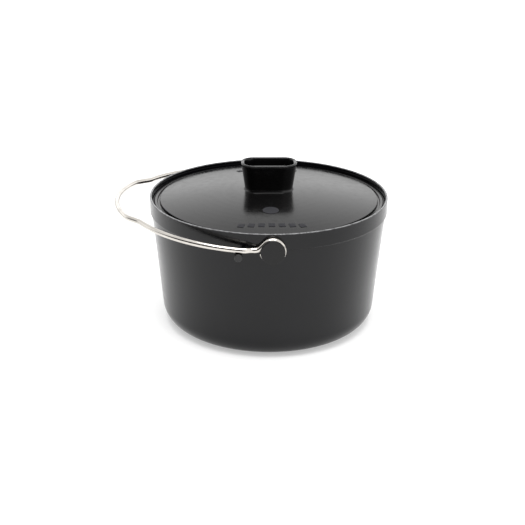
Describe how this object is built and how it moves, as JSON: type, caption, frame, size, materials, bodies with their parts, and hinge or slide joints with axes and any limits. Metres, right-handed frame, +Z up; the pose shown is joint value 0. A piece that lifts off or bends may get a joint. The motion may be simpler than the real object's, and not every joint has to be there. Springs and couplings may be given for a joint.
{
  "type": "cast iron dutch oven",
  "caption": "Round black cast iron pot with a sunk lid, a hollow trough-shaped lid knob, and a steel wire bail hooked on two side studs.",
  "frame": {"origin": "middle of the pot's flat base, on the surface it stands on", "axes": "+Z up along the pot's axis; the two studs stand on the Y axis; the bail rests toward -X"},
  "size_m": [0.3167, 0.296, 0.1896],
  "materials": {
    "pot_iron": "black, satin, fine cast grain",
    "lid_iron": "black, satin, smoother than the pot",
    "fitting_iron": "black, satin",
    "bail_steel": "bright drawn stainless wire",
    "screw_steel": "plain steel"
  },
  "bodies": {
    "pot": {"pot_body": "pot_iron", "front_pivot_stud": "fitting_iron", "rear_pivot_stud": "fitting_iron", "front_stop_peg": "fitting_iron", "rear_stop_peg": "fitting_iron"},
    "bail": {"bail_handle": "bail_steel"},
    "lid": {"lid_plate": "lid_iron", "lid_knob": "lid_iron", "knob_screws": "screw_steel"}
  },
  "joints": [
    {"name": "bail_swing", "type": "hinge", "parent": "pot", "child": "bail", "pos_m": [0, 0, 0.1348], "axis": [0, 1, 0], "range_deg": [0, 216]},
    {"name": "lid_lift", "type": "slide", "parent": "pot", "child": "lid", "axis": [0, 0, 1], "range_m": [0, 0.04]}
  ]
}
